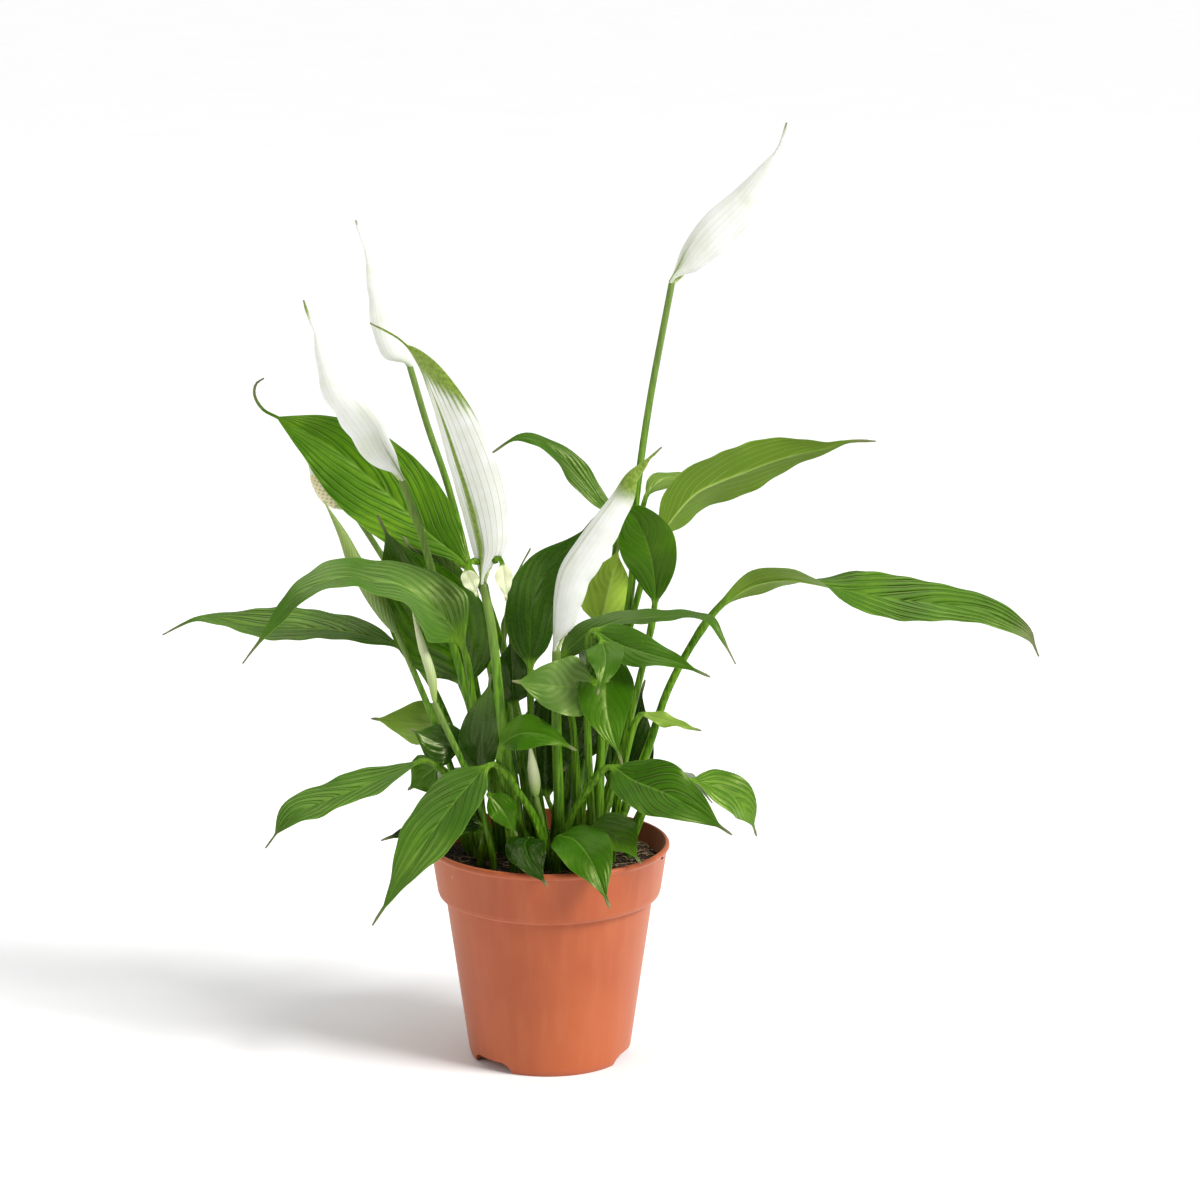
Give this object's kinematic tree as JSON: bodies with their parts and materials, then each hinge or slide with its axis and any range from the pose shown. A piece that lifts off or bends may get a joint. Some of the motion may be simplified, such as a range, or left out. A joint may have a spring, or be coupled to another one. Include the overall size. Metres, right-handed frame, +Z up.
{
  "type": "potted peace lily",
  "caption": "Flowering peace lily in a round nursery pot: arching pointed leaves, white hooded blooms on tall stems, and furled buds over a peat-filled plastic pot.",
  "frame": {"origin": "centre of the flat underside of the pot, on the surface that the plant stands on", "axes": "+Z up along the pot's axis, -Y towards the front of the plant as pictured, +X to the right seen from the front"},
  "size_m": [0.4336, 0.1966, 0.4651],
  "materials": {
    "terracotta_plastic": "satin moulded polypropylene, terracotta coloured",
    "peat": "loose dark peat with pale fibres and specks of perlite",
    "leaf": "glossy, with quilted side veins",
    "deep_leaf": "glossy dark green, with quilted side veins",
    "pale_leaf": "matte pale underside of a leaf",
    "stem": "smooth green stem with fine lengthwise lines",
    "spathe": "matte white, with fine green-grey veins",
    "bud": "matte cream-green furled spathe",
    "green_bud": "matte green furled spathe",
    "spadix": "bumpy cream flower spike"
  },
  "bodies": {
    "root": {"bloom_back_left_spadix": "spadix", "bloom_back_left_spathe": "spathe", "bloom_back_left_stem": "stem", "bloom_big_left_spadix": "spadix", "bloom_big_left_spathe": "spathe", "bloom_big_left_stem": "stem", "bloom_centre_spadix": "spadix", "bloom_centre_spathe": "spathe", "bloom_centre_stem": "stem", "bloom_left_spadix": "spadix", "bloom_left_spathe": "spathe", "bloom_left_stem": "stem", "bloom_tall_left_spadix": "spadix", "bloom_tall_left_spathe": "spathe", "bloom_tall_left_stem": "stem", "bloom_tall_right_spadix": "spadix", "bloom_tall_right_spathe": "spathe", "bloom_tall_right_stem": "stem", "bud_front": "bud", "bud_front_stem": "stem", "bud_green_left": "green_bud", "bud_left": "bud", "bud_left_stem": "stem", "leaf_back_left": "deep_leaf", "leaf_back_low_left": "deep_leaf", "leaf_back_low_right": "deep_leaf", "leaf_back_middle": "deep_leaf", "leaf_centre_dark": "deep_leaf", "leaf_centre_front": "leaf", "leaf_far_right": "leaf", "leaf_front_left": "leaf", "leaf_inner_dark": "deep_leaf", "leaf_left_arching": "leaf", "leaf_left_broad": "leaf", "leaf_left_dark": "deep_leaf", "leaf_left_drooping": "leaf", "leaf_left_lime": "leaf", "leaf_left_low": "leaf", "leaf_left_pointed": "leaf", "leaf_left_short": "pale_leaf", "leaf_lime": "pale_leaf", "leaf_low_left_dark": "deep_leaf", "leaf_low_right": "leaf", "leaf_low_right_back": "leaf", "leaf_right_arch": "leaf", "leaf_right_front": "leaf", "leaf_right_upper": "pale_leaf", "leaf_right_upright": "leaf", "leaf_rim_left": "deep_leaf", "leaf_rim_middle": "leaf", "leaf_rim_right": "leaf", "leaf_shaded_hanging": "deep_leaf", "leaf_small_front": "leaf", "leaf_spike": "pale_leaf", "leaf_thin": "pale_leaf", "leaf_top": "leaf", "leaf_upright_dark": "deep_leaf", "pot": "terracotta_plastic", "soil": "peat"}
  },
  "joints": []
}
